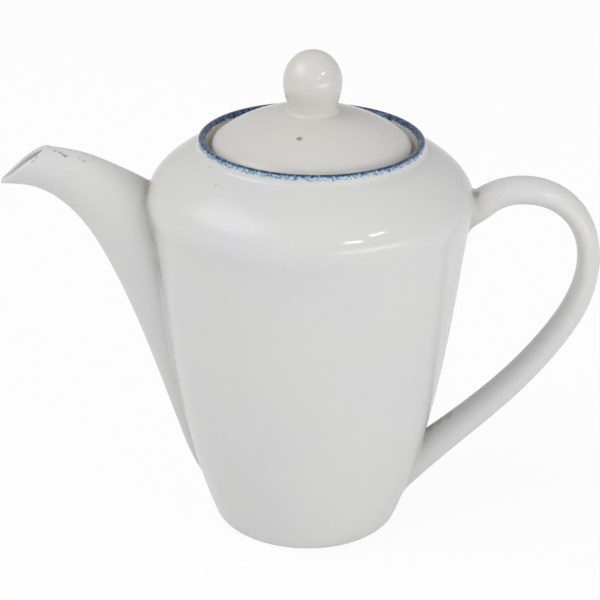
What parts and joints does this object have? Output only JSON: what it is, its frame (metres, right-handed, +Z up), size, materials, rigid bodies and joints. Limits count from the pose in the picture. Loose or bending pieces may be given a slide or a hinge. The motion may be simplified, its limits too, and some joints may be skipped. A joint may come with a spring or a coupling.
{
  "type": "coffee pot",
  "caption": "Tapered glazed ceramic coffee pot with a long beaked spout, an ear handle, a domed lift-off lid with a round knob and a speckled blue rim band.",
  "frame": {"origin": "the pot's axis where it meets the surface that the foot ring stands on", "axes": "+Z up along the pot's axis, +X towards the handle, -X towards the spout, +Y to the far side of the pot as pictured"},
  "size_m": [0.2243, 0.1218, 0.1888],
  "materials": {
    "white_glaze": "gloss white glaze with a speckled blue band on the rim",
    "lid_glaze": "gloss white glaze, a touch warmer than the body"
  },
  "bodies": {
    "pot": {"pot_body": "white_glaze", "spout": "white_glaze", "handle": "white_glaze"},
    "knob": {"lid_knob": "lid_glaze"},
    "lid": {"lid": "lid_glaze", "lid_lug": "lid_glaze"}
  },
  "joints": [
    {"name": "lid_lift", "type": "slide", "parent": "pot", "child": "knob", "axis": [0, 0, 1], "range_m": [0, 0.06]},
    {"name": "lid_turn", "type": "hinge", "parent": "knob", "child": "lid", "pos_m": [0, 0, 0.1504], "axis": [0, 0, 1], "continuous": true}
  ]
}
